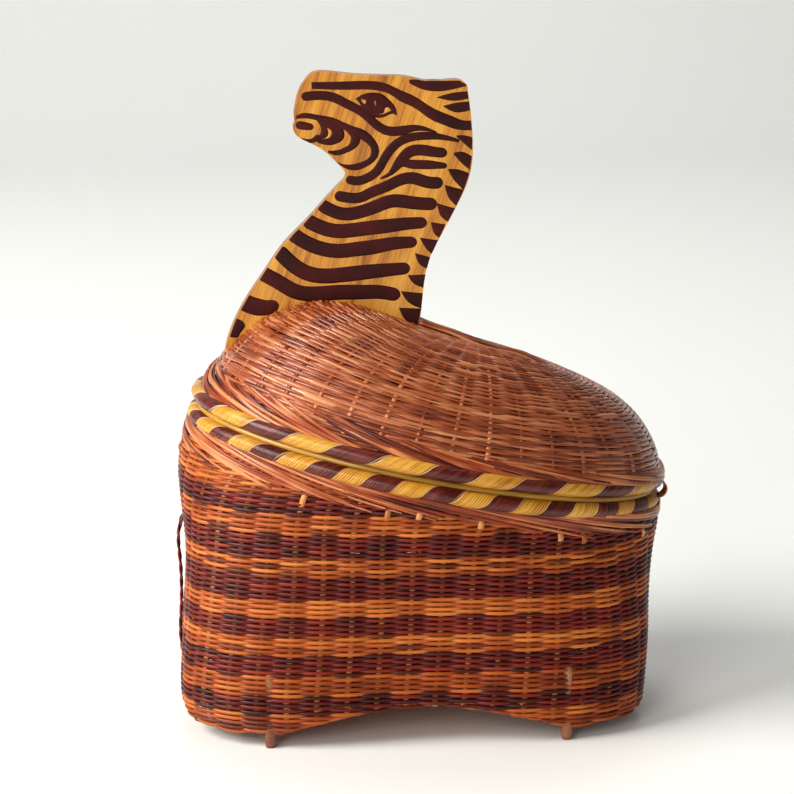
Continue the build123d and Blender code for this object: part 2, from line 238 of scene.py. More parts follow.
def skin_of_rings(ring, closed=False, keep=None):
    """Faces round many tubes given as rings of points: rows are tubes, columns are steps and
    the third axis goes round. Open tubes get flat ends. Faces where keep is false are left
    out. Returns points, quads and, for each corner, mm along and share round."""
    rows, steps, sides = ring.shape[:3]
    r = np.arange(rows)[:, None, None]
    i = np.arange(steps if closed else steps - 1)[None, :, None]
    a = np.arange(sides)[None, None, :]
    here = (r * steps + i) * sides
    there = (r * steps + (i + 1) % steps) * sides
    next_a = (a + 1) % sides
    quads = np.stack(np.broadcast_arrays(here + a, here + next_a, there + next_a, there + a), axis=-1)
    middle = ring.mean(axis=2)
    run = np.linalg.norm(np.diff(middle, axis=1, append=middle[:, :1]), axis=-1).cumsum(axis=1)
    run = np.concatenate([np.zeros((rows, 1)), run], axis=1)[:, : quads.shape[1] + 1]
    u0, u1, v0 = np.broadcast_arrays(run[:, :-1, None], run[:, 1:, None], a / sides)
    v1 = v0 + 1.0 / sides
    cover = np.stack([u0, v0, u0, v1, u1, v1, u1, v0], axis=-1).reshape(*u0.shape, 4, 2)
    if keep is not None:
        both = keep & np.roll(keep, -1, axis=1) if closed else keep[:, :-1] & keep[:, 1:]
        quads, cover = quads[both], cover[both]
    quads, cover = [quads.reshape(-1, 4)], [cover.reshape(-1, 4, 2)]
    for end, order in () if closed else ((0, -1), (steps - 1, 1)):
        first = (np.arange(rows) * steps + end) * sides
        for c in range(1, sides - 1, 2):
            cap = np.stack([first, first + c, first + c + 1, first + (c + 2) % sides], axis=1)
            quads.append(cap[:, ::order])
            cover.append(np.full((rows, 4, 2), 0.5))
    return ring.reshape(-1, 3), np.concatenate(quads), np.concatenate(cover)


def cane_tubes(path, facing, wide, thick, sides=6, closed=False, keep=None):
    """Many strands at once. Each carries an ellipse along its path, its thick axis along the
    surface's outward vector and its wide axis along travel crossed with that vector."""
    rows, steps = path.shape[:2]
    if closed:
        travel = np.roll(path, -1, axis=1) - np.roll(path, 1, axis=1)
    else:
        travel = np.gradient(path, axis=1)
    travel /= np.maximum(np.linalg.norm(travel, axis=-1, keepdims=True), 1e-9)
    side_way = np.cross(travel, facing)
    side_way /= np.maximum(np.linalg.norm(side_way, axis=-1, keepdims=True), 1e-9)
    out_way = np.cross(side_way, travel)
    wide = np.broadcast_to(wide, (rows, steps))[..., None, None]
    thick = np.broadcast_to(thick, (rows, steps))[..., None, None]
    angle = (np.arange(sides) / sides * 2 * math.pi)[None, None, :, None]
    ring = (
        path[:, :, None, :]
        + out_way[:, :, None, :] * np.cos(angle) * thick / 2
        + side_way[:, :, None, :] * np.sin(angle) * wide / 2
    )
    return skin_of_rings(ring, closed, keep)


def make_piece(name, skin, finish, tone, body, stands_for):
    """Puts a skin's points in mm and its quads into one smooth mesh, with its UV map, its tones
    if it has any, and its material. The piece rides a body and stands for CAD nodes."""
    points, quads, cover = skin
    used = np.zeros(len(points), bool)
    used[quads.ravel()] = True
    renumber = np.cumsum(used) - 1
    points, quads = points[used], renumber[quads]
    mesh = bpy.data.meshes.new(name)
    mesh.vertices.add(len(points))
    mesh.vertices.foreach_set("co", (points / 1000.0).astype(np.float32).ravel())
    mesh.loops.add(quads.size)
    mesh.loops.foreach_set("vertex_index", quads.astype(np.int32).ravel())
    mesh.polygons.add(len(quads))
    mesh.polygons.foreach_set("loop_start", np.arange(0, quads.size, 4, dtype=np.int32))
    mesh.polygons.foreach_set("use_smooth", np.ones(len(quads), bool))
    mesh.update(calc_edges=True)
    mesh.uv_layers.new(name="run").data.foreach_set("uv", cover.astype(np.float32).ravel())
    if tone is not None:
        shades = mesh.attributes.new("tone", "FLOAT", "POINT")
        shades.data.foreach_set("value", tone[used].astype(np.float32))
    mesh.materials.append(finish)
    made = bpy.data.objects.new(name, mesh)
    scene.collection.objects.link(made)
    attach(made, body)
    if stands_for:
        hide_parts(*stands_for)


def strand_tones(seed, rows, steps, sides=6, spread=1.0, patch=7):
    """A shade from 0 to 1 for each step of each strand: one value a strand, mixed with
    values that change every few steps, as strands of split cane differ."""
    dice = np.random.default_rng(seed)
    whole = dice.random((rows, 1))
    parts = dice.random((rows, steps // patch + 2))
    at = np.linspace(0, parts.shape[1] - 1.001, steps)
    low = np.floor(at).astype(int)
    mixed = parts[:, low] * (1 - (at - low)) + parts[:, low + 1] * (at - low)
    tone = 0.5 + spread * (0.55 * whole + 0.45 * mixed - 0.5)
    return np.repeat(np.clip(tone, 0, 1).ravel(), sides)


def join(tree, source, socket):
    """Links a node's first output, or the output that a (node, output) pair names, to a socket."""
    source, output = source if isinstance(source, tuple) else (source, 0)
    tree.links.new(source.outputs[output], socket)


def node(tree, kind, inputs=None, settings=None):
    """Adds one shader node. Inputs are values, or nodes or (node, output) pairs to link. Settings
    are its properties, or three stops, each a place and a hex colour, for a ramp."""
    made = tree.nodes.new("ShaderNode" + kind)
    for key, value in (settings or {}).items():
        if key == "stops":
            ends = made.color_ramp.elements
            for stop, (place, colour) in zip(ends, (value[0], value[2])):
                stop.color = linear(colour)
                stop.position = place
            ends.new(value[1][0]).color = linear(value[1][1])
        else:
            setattr(made, key, value)
    for key, value in (inputs or {}).items():
        if isinstance(value[0] if isinstance(value, tuple) else value, bpy.types.Node):
            join(tree, value, made.inputs[key])
        else:
            made.inputs[key].default_value = value
    return made


def finish_shader(tree, shader, colour, relief, gloss):
    """Ends a material: its colour, a bump for its fine relief (the height, a strength and a
    depth in metres), and the constant values of its gloss."""
    height, strength, depth = relief
    bump = node(tree, "Bump", {"Strength": strength, "Distance": depth, "Height": height})
    join(tree, colour, shader.inputs["Base Color"])
    join(tree, bump, shader.inputs["Normal"])
    for socket, value in gloss.items():
        shader.inputs[socket].default_value = value


# What a Math node does: weigh one pattern and add it to another, take away, multiply, or drop the sign.
weighed = {"operation": "MULTIPLY_ADD"}
less = {"operation": "SUBTRACT"}
times = {"operation": "MULTIPLY"}
size_of = {"operation": "ABSOLUTE"}


def lacquered_cane(name, dark, middle, light, roughness, coat):
    """Split rattan core, stained and lacquered. Each strand has its own shade from the tone
    attribute, fibre streaks about 0.5 mm wide run along it, and the lacquer gives a satin
    gleam on every crest of the weave."""
    finish, tree, shader = blank_material(name)
    tone = node(tree, "Attribute", settings={"attribute_name": "tone"})
    place = node(tree, "TexCoord")
    cloud = node(tree, "TexNoise", {"Vector": (place, "Object"), "Scale": 55.0, "Detail": 3.0})
    ribs = node(tree, "Mapping", {"Vector": (place, "UV"), "Scale": (0.12, 9.0, 1.0)})
    streak = node(tree, "TexNoise", {"Vector": ribs, "Scale": 1.0, "Detail": 2.0})
    shade = node(tree, "Math", {0: cloud, 1: 0.5, 2: (tone, "Fac")}, weighed)
    shade = node(tree, "Math", {0: streak, 1: 0.35, 2: shade}, weighed)
    shade = node(tree, "Math", {0: shade, 1: 0.42}, less)
    stops = ((0.1, dark), (0.5, middle), (0.95, light))
    ramp = node(tree, "ValToRGB", {"Fac": shade}, {"stops": stops})
    gloss = {
        "Roughness": roughness, "Specular IOR Level": 0.3, "Coat Weight": coat, "Coat Roughness": 0.25,
    }
    finish_shader(tree, shader, ramp, (streak, 0.25, 0.0002), gloss)
    return finish


tan_cane = lacquered_cane("lacquered_tan_cane", "#561804", "#9C420E", "#CA722E", 0.4, 0.06)
dyed_cane = lacquered_cane("lacquered_dyed_cane", "#2C0201", "#580A03", "#862612", 0.4, 0.06)
stake_cane = lacquered_cane("lacquered_stake_cane", "#6E2E10", "#A85C24", "#D28E4E", 0.45, 0.15)

wall_rows = 114
steps_per_stake = 6
wall_steps = stake_count * steps_per_stake
turns = even_turns(wall_steps)
row_heights = 5.8 + strand_pitch * np.arange(wall_rows)
wander = np.random.default_rng(4)
waves = sum(
    wander.normal(0, 0.11, (wall_rows, 1))
    * np.sin(k * turns[None, :] + wander.random((wall_rows, 1)) * 6.28)
    for k in (2, 3, 5)
)
row_z = row_heights[:, None] + waves * 0.6
step_number = np.arange(wall_steps)[None, :] / steps_per_stake
over = np.cos(math.pi * (step_number + np.arange(wall_rows)[:, None]))
over = np.tanh(1.5 * over) / np.tanh(1.5)
edge, _ = wall_point(turns, np.clip(row_z, wall_bottom, wall_top))
lower_edge = foot_line(edge) + 0.5
tucked = np.maximum(lower_edge - row_z, 0)
shown_z = np.clip(np.maximum(row_z, lower_edge), wall_bottom, wall_top)
upper_edge = seam_height - seam_slope * edge[..., 0] - 5.2 / cos_tilt
row_path, row_facing = wall_point(turns, shown_z, -weave_depth + 0.7 * over)
inward = row_path * [1.0, 1.0, 0.0]
inward[..., 0] -= basket_middle
inward /= np.linalg.norm(inward, axis=-1, keepdims=True)
row_path = row_path - inward * (tucked * 1.3)[..., None]
row_keep = row_z < upper_edge
dyed_zones = ((14.6, 21.8), (30.0, 37.8), (46.3, 54.2), (61.3, 70.0), (78.8, 87.2), (96.0, 103.4))
is_dyed = np.any([(row_heights > low) & (row_heights < high) for low, high in dyed_zones], axis=0)
lower_half = 58.0
is_low = row_heights < lower_half
dyed_bands = [f"dyed_band_{number}" for number in range(1, 6)]

for name, chosen, finish, seed, slot, stands_for in (
    ("wall_dyed_strands", is_dyed, dyed_cane, 11, "dyed_cane", dyed_bands),
    ("wall_tan_strands_lower", ~is_dyed & is_low, tan_cane, 12, "tan_cane", ["basket_wall"]),
    ("wall_tan_strands_upper", ~is_dyed & ~is_low, tan_cane, 13, "tan_cane", ["basket_wall"]),
):
    wide = 1.48 + 0.12 * over[chosen]
    skin = cane_tubes(
        row_path[chosen], row_facing[chosen], wide, strand_round, closed=True, keep=row_keep[chosen]
    )
    tone = strand_tones(seed, int(chosen.sum()), wall_steps)
    make_piece(name, skin, finish, tone, "basket", stands_for)

stake_steps = 90
stake_turns = even_turns(stake_count)
climb = np.linspace(0, 1, stake_steps)[None, :]
at_foot, _ = wall_point(stake_turns, np.full(stake_count, 10.0))
low = foot_line(at_foot)[:, None] + 0.4
high = (seam_height - seam_slope * at_foot[:, 0] - 4.0)[:, None]
dice = np.random.default_rng(17)
stub_place = dice.uniform(0.84, 0.885, (stake_count, 1))
stub_rise = 1.5 * (dice.random((stake_count, 1)) < 0.3)
stake_out = -weave_depth + stub_rise * np.exp(-(((climb - stub_place) / 0.02) ** 2))
stake_path, stake_facing = wall_point(stake_turns[:, None], low + (high - low) * climb, stake_out)
skin = cane_tubes(stake_path, stake_facing, 2.6, 0.9)
tone = strand_tones(14, stake_count, stake_steps)
make_piece("wall_stakes", skin, stake_cane, tone, "basket", [])


# The basket's floor: strands woven in rings over spokes, held inside the
# wall just above the arches.
def floor_ring(turn, share, lift):
    """The wall's outline 16 mm up, drawn in by a share about its middle and laid flat."""
    outline = wall_level(turn, np.full_like(turn, 0.15))
    x = basket_middle + (outline[..., 0] - basket_middle) * share
    y = outline[..., 1] * share
    return points_at(x, y, 16.6 + lift)


ring_count = 36
steps_per_spoke = 4
floor_steps = stake_count * steps_per_spoke
floor_share = np.linspace(0.965, 0.05, ring_count)[:, None]
floor_place = np.arange(floor_steps)[None, :] / steps_per_spoke
floor_over = np.cos(math.pi * (floor_place + np.arange(ring_count)[:, None]))
floor_path = floor_ring(even_turns(floor_steps), floor_share, 0.5 * floor_over)
spoke_steps = 12
spoke_path = floor_ring(stake_turns[:, None], np.linspace(0.05, 0.99, spoke_steps), 0.0)
upward = [0.0, 0.0, 1.0]
skin = cane_tubes(floor_path, upward, 1.7, 1.0, closed=True)
tone = strand_tones(15, ring_count, floor_steps)
make_piece("floor_strands", skin, tan_cane, tone, "basket", ["basket_floor"])
skin = cane_tubes(spoke_path, upward, 2.4, 0.8)
tone = strand_tones(16, stake_count, spoke_steps)
make_piece("floor_spokes", skin, stake_cane, tone, "basket", [])

# The stake ends under the basket's border. Each stake is two flat canes that
# come out from beneath the wrapping, sweep down to the right and are tucked
# into the weave, so that they lie over each other like a fan.
orange_cane = lacquered_cane("lacquered_orange_cane", "#400A03", "#953C16", "#D08452", 0.34, 0.2)


def around(stakes, marks):
    """Angle at a place counted in stakes, from the angles of the stakes' even marks."""
    whole, part = np.divmod(stakes / stake_count, 1.0)
    known = np.append(marks, 2 * math.pi)
    return np.interp(part, np.linspace(0, 1, len(known)), known) + 2 * math.pi * whole


def under_seam(turn, depth, out):
    """Point and outward vector of the wall at a depth under the seam plane. The share is found by
    repeating share = 1 - depth / (cos tilt * (seam height less the slope times x))."""
    share = 0.95
    for _ in range(6):
        share = 1 - depth / (cos_tilt * (seam_height - seam_slope * wall_level(turn, share)[..., 0]))
    facing = surface_facing(wall_level, turn, share)
    return wall_level(turn, share) + facing * out[..., None], facing


end_steps = 26
dice = np.random.default_rng(21)
end_count = stake_count * 2
sweep = np.linspace(0, 1, end_steps)[None, :]
start_stake = (np.arange(end_count) / 2 + dice.normal(0, 0.07, end_count))[:, None]
end_length = dice.uniform(5.5, 8.5, (end_count, 1))
leftward = 0.5 - 0.5 * np.cos(around(start_stake, turns))
end_depth = 2.6 + 7.0 * leftward + dice.uniform(-1.0, 1.8, (end_count, 1))
depth = 6.2 + end_depth * sweep ** dice.uniform(0.9, 1.3, (end_count, 1))
lift = 0.8 - 1.3 * sweep**1.5 + dice.uniform(-0.2, 0.2, (end_count, 1))
path, facing = under_seam(around(start_stake + end_length * sweep, turns), depth, lift)
width = dice.uniform(1.3, 2.0, (end_count, 1)) * (1 - 0.5 * sweep**2)
skin = cane_tubes(path, facing, width, 0.85)
tone = strand_tones(22, end_count, end_steps, spread=1.6)
make_piece(
    "folded_ends_basket", skin, orange_cane, tone, "basket", ["basket_stake_border"]
)

# The basket's wrapped border. A thick core ring is bound with flat straws,
# gold and maroon side by side, wound on a slant so that the colours make
# leaning diamonds. Each straw lies with one edge over its neighbour.
border_shift = 1.25
border_long, border_wide = 95.35, 67.0
section_out, section_up = 3.0, 2.75
straw_half = 0.262
straw_lag = 0.45
rim_run = np.linspace(0, 2 * math.pi, 1441)
rim_line = np.stack([border_long * np.cos(rim_run), border_wide * np.sin(rim_run)], axis=-1)
rim_marks = mm_along(rim_line)
rim_length = rim_marks[-1]


def seam_to_box(along, across, rise):
    """A place given along, across and over the tilted seam plane, turned to the box's axes."""
    x = along * cos_tilt + rise * sin_tilt
    z = seam_height - along * sin_tilt + rise * cos_tilt
    return points_at(x, across, z)


def border_surface(run, swing, level, swell):
    """Border at mm along its oval and an angle round its section, from outwards to up. The
    section is an ellipse 3 mm out and 2.75 mm up, swollen by a few tenths, and by a quarter
    of that between the lashings, where the two borders roll over each other."""
    turn = np.interp(run % rim_length, rim_marks, rim_run)
    from_hinge = (turn + math.pi) % (2 * math.pi) - math.pi
    swell = swell * (1 - 0.75 * np.exp(-((from_hinge / 0.13) ** 2)))
    out_x, out_y = np.cos(turn) / border_long, np.sin(turn) / border_wide
    size = np.hypot(out_x, out_y)
    reach = (section_out + swell) * np.cos(swing)
    along = border_shift + border_long * np.cos(turn) + out_x / size * reach
    across = border_wide * np.sin(turn) + out_y / size * reach
    return seam_to_box(along, across, level + (section_up + swell) * np.sin(swing))


def straw_strip(level, windings, start, ribs, seed):
    """Ring of points for one straw: it climbs round the border while it goes along it, a
    winding for each share of the oval, steeply outside and flatter inside, where its way
    along lags by some sines of its angle. It is arched across, with one edge raised, and its
    fine ribs are the sizes of cosines across it."""
    steps = windings * 22
    across = np.linspace(-1, 1, ribs * 3 + 1)
    pitch = rim_length / windings
    part = np.arange(steps) / steps
    swing = (part * 2 * math.pi * windings)[:, None]
    wobble = np.random.default_rng(seed).normal(0, 0.03, windings * 2)
    drift = np.interp(part * windings * 2, np.arange(windings * 2), wobble, period=windings * 2)
    run = (swing - straw_lag * np.sin(swing)) / (2 * math.pi) * pitch
    run = run + (start + drift[:, None] + across[None, :] * straw_half) * pitch
    swell = 0.26 * (1 - across**2) + 0.26 * (across + 1) / 2
    swell = swell + 0.14 * np.abs(np.cos(across * math.pi * ribs / 2))
    swell = swell - 0.5 * np.maximum(np.abs(across) - 0.93, 0)
    swell = np.broadcast_to(swell, run.shape)
    top = border_surface(run, swing, level, swell)
    under = border_surface(run[:, [-1, 0]], swing, level, -0.5)
    return np.concatenate([top, under], axis=1)[None]


def wrapped_straw(name, dark, middle, light, ribs):
    """Flat grass straw. Fine ridges run along it, about 1.2 mm apart, with painted shade darkening
    the grooves, and both edges are pale where the straw is folded over, with a waxy sheen."""
    finish, tree, shader = blank_material(name)
    place = node(tree, "TexCoord")
    split = node(tree, "SeparateXYZ", {"Vector": (place, "UV")})
    across = node(tree, "Math", {0: (split, "Y"), 1: (ribs * 3 + 3) / (ribs * 3)}, times)
    phase = node(tree, "Math", {0: across, 1: math.pi * ribs}, times)
    # Painted shade: the size of this sine darkens the colour along each groove between the ribs.
    painted_groove_shade = node(tree, "Math", {0: phase}, {"operation": "SINE"})
    painted_groove_shade = node(tree, "Math", {0: painted_groove_shade}, size_of)
    lanes = node(tree, "Mapping", {"Vector": (place, "UV"), "Scale": (0.06, ribs * 1.6, 1.0)})
    streak = node(tree, "TexNoise", {"Vector": lanes, "Scale": 1.0, "Detail": 3.0})
    cloud = node(tree, "TexNoise", {"Vector": (place, "Object"), "Scale": 90.0, "Detail": 2.0})
    shade = node(tree, "Math", {0: painted_groove_shade, 1: 0.3, 2: streak}, weighed)
    shade = node(tree, "Math", {0: cloud, 1: 0.45, 2: shade}, weighed)
    shade = node(tree, "Math", {0: shade, 1: 0.46}, less)
    stops = ((0.12, dark), (0.45, middle), (0.85, light))
    ramp = node(tree, "ValToRGB", {"Fac": shade}, {"stops": stops})
    off_centre = node(tree, "Math", {0: across, 1: 0.5}, less)
    off_centre = node(tree, "Math", {0: off_centre}, size_of)
    at_edge = node(tree, "Math", {0: off_centre, 1: 0.475}, {"operation": "GREATER_THAN"})
    tones = {"Factor": at_edge, 6: ramp, 7: linear("#C9A27C")}
    mixed = node(tree, "Mix", tones, {"data_type": "RGBA"})
    gloss = {"Roughness": 0.34, "Specular IOR Level": 0.3, "Coat Weight": 0.25, "Coat Roughness": 0.2}
    finish_shader(tree, shader, (mixed, 2), (shade, 0.6, 0.0003), gloss)
    return finish


def bind_border(body, level, windings, ribs, node_name, seed):
    """Winds the gold and the maroon straw round one border, half a winding apart."""
    gold = wrapped_straw("gold_straw_" + body, "#70380A", "#C98A20", "#EBBE5A", ribs)
    maroon = wrapped_straw("maroon_straw_" + body, "#1C0201", "#4C0705", "#92402E", ribs)
    for name, finish, start in (("gold_wrap_", gold, 0.0), ("maroon_wrap_", maroon, 0.5)):
        skin = skin_of_rings(straw_strip(level, windings, start, ribs, seed), closed=True)
        make_piece(name + body, skin, finish, None, body, [node_name])


border_level = 4.35
bind_border("basket", -border_level, 22, 11, "basket_rim_wrap", 31)


# The mouth hoop: one smooth strip of bamboo bent to the oval and seen between
# the two wrapped borders. The lid's own hoop, the borders' cores and the
# board's pins are bamboo too, mostly hidden.
def smooth_bamboo(name, dark, middle, light):
    """Peeled bamboo or cane left whole, its skin waxy. Long fibres about 0.6 mm apart run with
    the strip, and the colour drifts over some 40 mm."""
    finish, tree, shader = blank_material(name)
    place = node(tree, "TexCoord")
    drift = node(tree, "TexNoise", {"Vector": (place, "Object"), "Scale": 24.0, "Detail": 2.0})
    fibre = node(tree, "Mapping", {"Vector": (place, "Object"), "Scale": (60.0, 60.0, 1800.0)})
    lines = node(tree, "TexNoise", {"Vector": fibre, "Scale": 1.0, "Detail": 2.0})
    shade = node(tree, "Math", {0: lines, 1: 0.45, 2: drift}, weighed)
    shade = node(tree, "Math", {0: shade, 1: 0.24}, less)
    stops = ((0.2, dark), (0.5, middle), (0.85, light))
    ramp = node(tree, "ValToRGB", {"Fac": shade}, {"stops": stops})
    gloss = {"Roughness": 0.34, "Coat Weight": 0.3, "Coat Roughness": 0.2}
    finish_shader(tree, shader, ramp, (lines, 0.2, 0.0002), gloss)
    return finish


olive_bamboo = smooth_bamboo("olive_bamboo_skin", "#6E4A12", "#A8791F", "#C79A35")
pale_bamboo = smooth_bamboo("pale_split_bamboo", "#7A4620", "#B5763A", "#D2A066")
for name in ("mouth_hoop", "lid_hoop"):
    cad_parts[name].material_slots[0].material = olive_bamboo
for name in ("basket_rim_core", "lid_rim_core", "tang_pin_left", "tang_pin_right"):
    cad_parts[name].material_slots[0].material = pale_bamboo

# Four foot pegs, each a length of split cane pushed up into the weave at a
# corner, its cut end worn round by standing on a table.
brown_cane = smooth_bamboo("brown_peg_cane", "#4A1E0E", "#80401F", "#B07A52")
peg_left, peg_right, peg_side = -66.0, 52.5, 55.2
peg_steps = 16
peg_z = np.linspace(0.0, 31.0, peg_steps)[None, :]
peg_wide = 4.6 * (1 - 0.22 * np.exp(-peg_z / 0.5)) * (1 - 0.3 * (peg_z > 30)) + 0.1 * np.sin(peg_z)
for side, outwards in (("front", -1.0), ("back", 1.0)):
    for end, x in (("left", peg_left), ("right", peg_right)):
        path = points_at(x, outwards * peg_side, peg_z)
        skin = cane_tubes(path, [0.0, outwards, 0.0], peg_wide, peg_wide, sides=14)
        corner = side + "_" + end
        make_piece("peg_" + corner, skin, brown_cane, None, "basket", ["foot_peg_" + corner])

# The tail: three dyed canes in a flat plait, bowed out over the hollow end
# and tucked in at both ends.
tail_line = np.array([
    (-95.8, 85.0), (-99.7, 79.5), (-100.9, 62.0), (-100.9, 40.0), (-100.0, 21.5), (-95.8, 12.9),
])
tail_steps = 150
plait_length = 17.0
plait_reach = 2.7


def bent_line(line, steps):
    """A smooth curve through a few points, each given by its x and z: mm along it, x and z at
    even steps."""
    marks = mm_along(line)
    run = np.linspace(0, marks[-1], steps)
    return run, through_points(run, marks, line[:, 0]), through_points(run, marks, line[:, 1])


tail_run, tail_x, tail_z = bent_line(tail_line, tail_steps)
plait = tail_run[None, :] / plait_length * 2 * math.pi + np.arange(3)[:, None] * 2 * math.pi / 3
path = points_at(tail_x - 0.35 * np.sin(2 * plait), plait_reach * np.sin(plait), tail_z)
skin = cane_tubes(path, [-1.0, 0.0, 0.0], 3.0, 0.9, sides=8)
tone = strand_tones(41, 3, tail_steps, 8)
make_piece("plaited_tail", skin, dyed_cane, tone, "basket", ["tail_strap"])

# Two hinge lashings of flat cane at the right end. Each goes four times round
# through both borders, and the lid turns in these loops.
hinge_along = 97.2
loop_radius = 3.2
loop_steps = 48
loop_places = np.array([-2.6, -0.87, 0.87, 2.6])
hinge_x = hinge_along * cos_tilt
hinge_z = seam_height - hinge_along * sin_tilt
loop = np.linspace(0, 2 * math.pi, loop_steps, endpoint=False)[None, :]
facing = points_at(np.cos(loop), 0.0, np.sin(loop))
loop_x, loop_z = hinge_x + loop_radius * np.cos(loop), hinge_z + loop_radius * np.sin(loop)
for name, y in (("front", -10.5), ("back", 10.5)):
    loop_y = (y + loop_places)[:, None] + 0.2 * np.sin(loop)
    skin = cane_tubes(points_at(loop_x, loop_y, loop_z), facing, 1.8, 0.85, sides=8, closed=True)
    tone = strand_tones(42, len(loop_places), loop_steps, 8, 0.6)
    make_piece(
        "lashing_turns_" + name, skin, orange_cane, tone, "basket", ["hinge_lashing_" + name]
    )

# The lid: flat stakes fan in from the rim to the crest, and thin split cane
# goes round and round over and under them. The strands are closed loops whose
# middle lies well to the right, so they meet the head board nearly square.
dome_places = np.array(
    [-93.4, -91.5, -87.2, -80.0, -70.0, -56.3, -40.0, -20.0, 5.0, 34.0, 56.0, 76.0, 86.0, 91.4, 96.2, 98.4]
)
dome_heights = np.array(
    [6.0, 12.2, 22.6, 34.0, 43.2, 49.9, 51.6, 49.0, 45.4, 42.3, 38.2, 31.9, 25.4, 19.6, 11.8, 6.0]
)
dome_middle = 2.5
lid_stake_count = 36
lid_cane = lacquered_cane("lacquered_lid_cane", "#5A1E0C", "#9A481E", "#D08A5C", 0.3, 0.6)


def dome_rise(along, across):
    """Height of the dome over the seam plane: the crest's height there, times one less the
    squared share across the elliptic outline, to the power 0.425."""
    half = border_wide * np.sqrt(np.maximum(1 - ((along - dome_middle) / 96.5) ** 2, 1e-6))
    crest = np.maximum(through_points(along, dome_places, dome_heights), 0.0)
    return crest * np.maximum(1 - (across / half) ** 2, 0.0) ** 0.425


def dome_point(turn, share):
    """Point of the dome at an angle and at a share of the way in, measured on the surface from
    the rim to a short slit in the crest. In plan each way in is a straight line."""
    turn, share = np.broadcast_arrays(turn, share)
    reach = np.linspace(0, 1, 110) ** 2
    east, north = np.cos(turn)[..., None], np.sin(turn)[..., None]
    along = (dome_middle + 96.4 * east) * (1 - reach) + (11.0 + 23.0 * east) * reach
    across = north * (66.95 * (1 - reach) + 2.0 * reach)
    rise = dome_rise(along, across)
    step = np.sqrt(np.diff(along) ** 2 + np.diff(across) ** 2 + np.diff(rise) ** 2)
    run = np.concatenate([np.zeros(turn.shape + (1,)), np.cumsum(step, axis=-1)], axis=-1)
    wanted = (share * run[..., -1])[..., None]
    k = np.clip((run < wanted).sum(axis=-1, keepdims=True) - 1, 0, len(reach) - 2)
    before, after = np.take_along_axis(run, k, -1), np.take_along_axis(run, k + 1, -1)
    part = (wanted - before) / (after - before)
    spot = [
        (np.take_along_axis(v, k, -1) * (1 - part) + np.take_along_axis(v, k + 1, -1) * part)[..., 0]
        for v in (along, across, rise)
    ]
    return seam_to_box(*spot)


def lid_turn(stakes):
    """Angle at a place counted in the lid's stakes, evenly spaced along the oval."""
    whole, part = np.divmod(stakes / lid_stake_count, 1.0)
    return np.interp(part * rim_length, rim_marks, rim_run) + 2 * math.pi * whole


lid_rows = 76
steps_per_lid_stake = 8
lid_steps = lid_stake_count * steps_per_lid_stake
lid_place = np.arange(lid_steps)[None, :] / steps_per_lid_stake
lid_angle = lid_turn(lid_place)
dice = np.random.default_rng(51)
row_share = np.linspace(0.02, 0.985, lid_rows)[:, None]
sway = sum(
    dice.normal(0, 0.0016, (lid_rows, 1)) * np.sin(k * lid_angle + dice.random((lid_rows, 1)) * 6.28)
    for k in (2, 3, 5)
)
row_share = row_share + sway
lid_over = np.cos(math.pi * (lid_place + np.arange(lid_rows)[:, None]))
lid_over = np.tanh(2.2 * (lid_over + 0.45))
base = dome_point(lid_angle, row_share)
lid_facing = surface_facing(dome_point, lid_angle, row_share)
lid_path = base + lid_facing * (-1.05 + 0.45 * lid_over)[..., None]
lid_pitch = np.linalg.norm(np.diff(base, axis=0, append=2 * base[-1:] - base[-2:-1]), axis=-1)
slot_left, slot_right, slot_half = -79.8, -3.4, 2.5
clear_of_board = (np.abs(base[..., 1]) > slot_half) | (base[..., 0] < slot_left) | (base[..., 0] > slot_right)
half_rows = lid_rows // 2
for name, rows in (
    ("lid_strands_lower", slice(0, half_rows)),
    ("lid_strands_upper", slice(half_rows, lid_rows)),
):
    wide = lid_pitch[rows] * 1.32
    skin = cane_tubes(lid_path[rows], lid_facing[rows], wide, 1.05, closed=True, keep=clear_of_board[rows])
    tone = strand_tones(17, half_rows, lid_steps, spread=0.85, patch=16)
    make_piece(name, skin, lid_cane, tone, "lid", ["lid_shell"])
lid_stake_steps = 50
stake_share = np.linspace(0.012, 1.0, lid_stake_steps)[None, :]
stake_angle = lid_turn(np.arange(lid_stake_count))[:, None]
facing = surface_facing(dome_point, stake_angle, stake_share)
path = dome_point(stake_angle, stake_share) - facing
skin = cane_tubes(path, facing, 2.6 - 1.5 * stake_share, 0.85)
tone = strand_tones(53, lid_stake_count, lid_stake_steps)
make_piece("lid_stakes", skin, orange_cane, tone, "lid", [])

# The stake ends over the lid's border: they leave the weave, bend to the right
# and run down side by side until the wrapping swallows them.
dice = np.random.default_rng(61)
end_count = lid_stake_count * 3
lid_edge_share = 0.018
start_stake = (np.arange(end_count) / 3 + dice.normal(0, 0.08, end_count))[:, None]
end_length = dice.uniform(3.6, 6.4, (end_count, 1))
leftward = 0.5 - 0.5 * np.cos(lid_turn(start_stake))
rise_start = 0.08 + 0.06 * leftward + dice.uniform(-0.012, 0.02, (end_count, 1))
share = (1 - sweep) ** dice.uniform(1.0, 1.5, (end_count, 1))
share = lid_edge_share + (rise_start - lid_edge_share) * share
lift = -1.3 + 2.3 * np.minimum(2.5 * sweep, 1.0) + dice.uniform(-0.3, 0.3, (end_count, 1))
angle = lid_turn(start_stake + end_length * sweep)
facing = surface_facing(dome_point, angle, share)
path = dome_point(angle, share) + facing * lift[..., None]
skin = cane_tubes(path, facing, dice.uniform(1.3, 2.1, (end_count, 1)), 0.9)
tone = strand_tones(62, end_count, end_steps, spread=1.6)
make_piece("folded_ends_lid", skin, orange_cane, tone, "lid", ["lid_stake_border"])
bind_border("lid", border_level, 14, 16, "lid_rim_wrap", 63)

